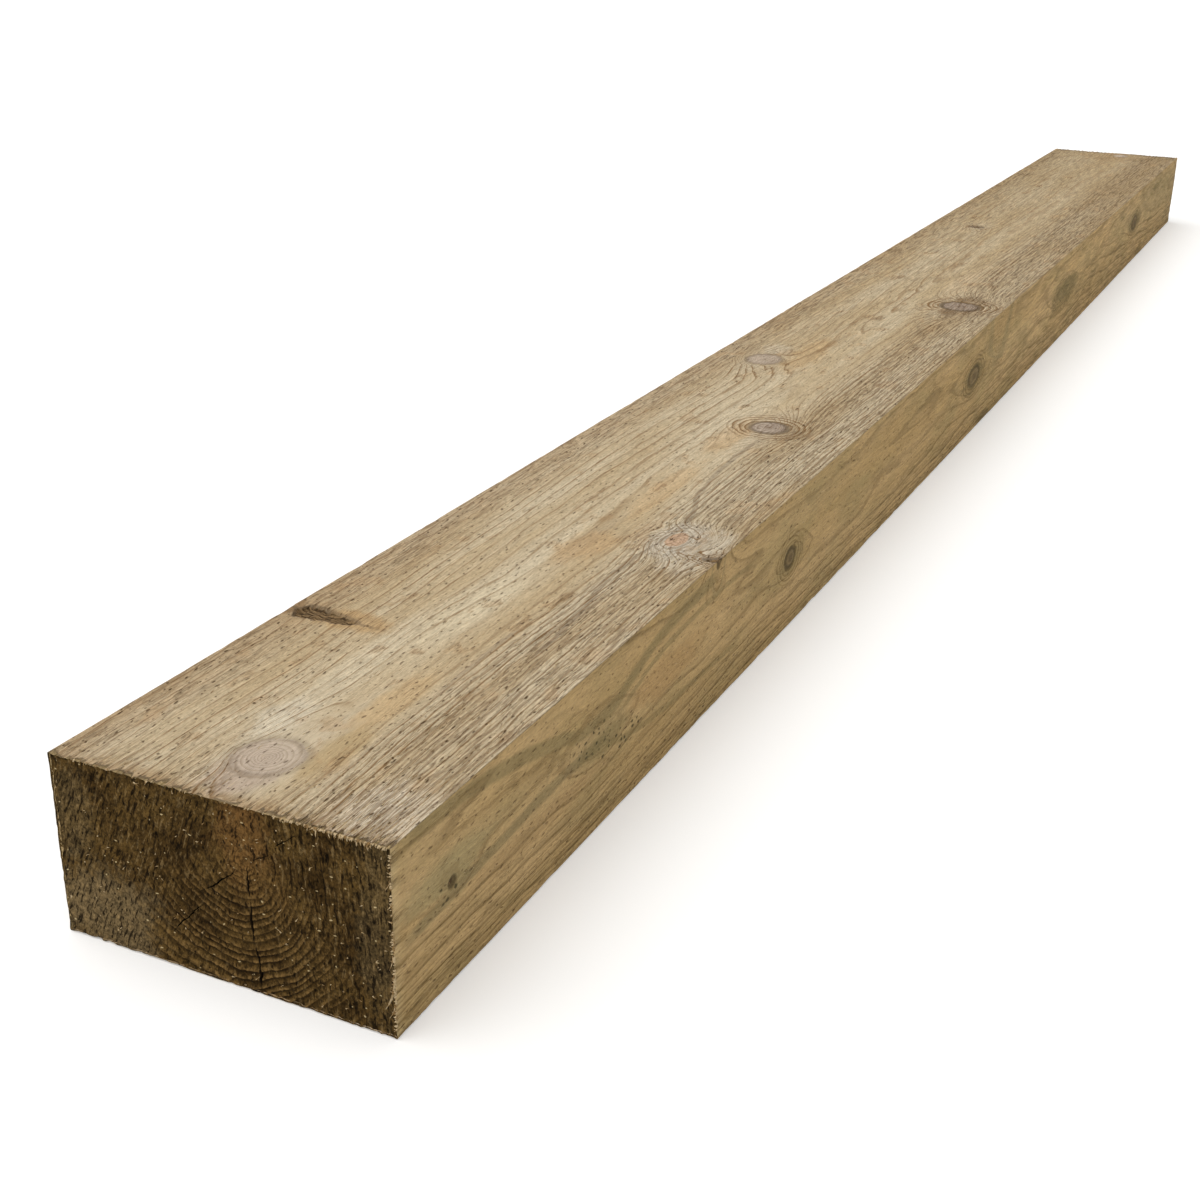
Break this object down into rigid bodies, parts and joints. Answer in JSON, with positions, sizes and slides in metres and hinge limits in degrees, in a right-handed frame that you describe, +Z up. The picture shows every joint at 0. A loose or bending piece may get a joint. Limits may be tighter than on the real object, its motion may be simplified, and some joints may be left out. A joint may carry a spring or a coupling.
{
  "type": "railway sleeper",
  "caption": "Long rectangular rough-sawn softwood baulk with eased arrises and drying checks in one end, laid flat as a sleeper, edging or retaining timber.",
  "frame": {"origin": "middle of the underside, on the floor that the sleeper lies on", "axes": "+X along the length, away from the end with the drying checks; +Y across the width; +Z up through the thickness"},
  "size_m": [2.4, 0.198, 0.104],
  "materials": {
    "treated_softwood": "rough-sawn, pressure-treated, weathered, with dark end grain"
  },
  "bodies": {
    "root": {"sleeper_timber": "treated_softwood"}
  },
  "joints": []
}
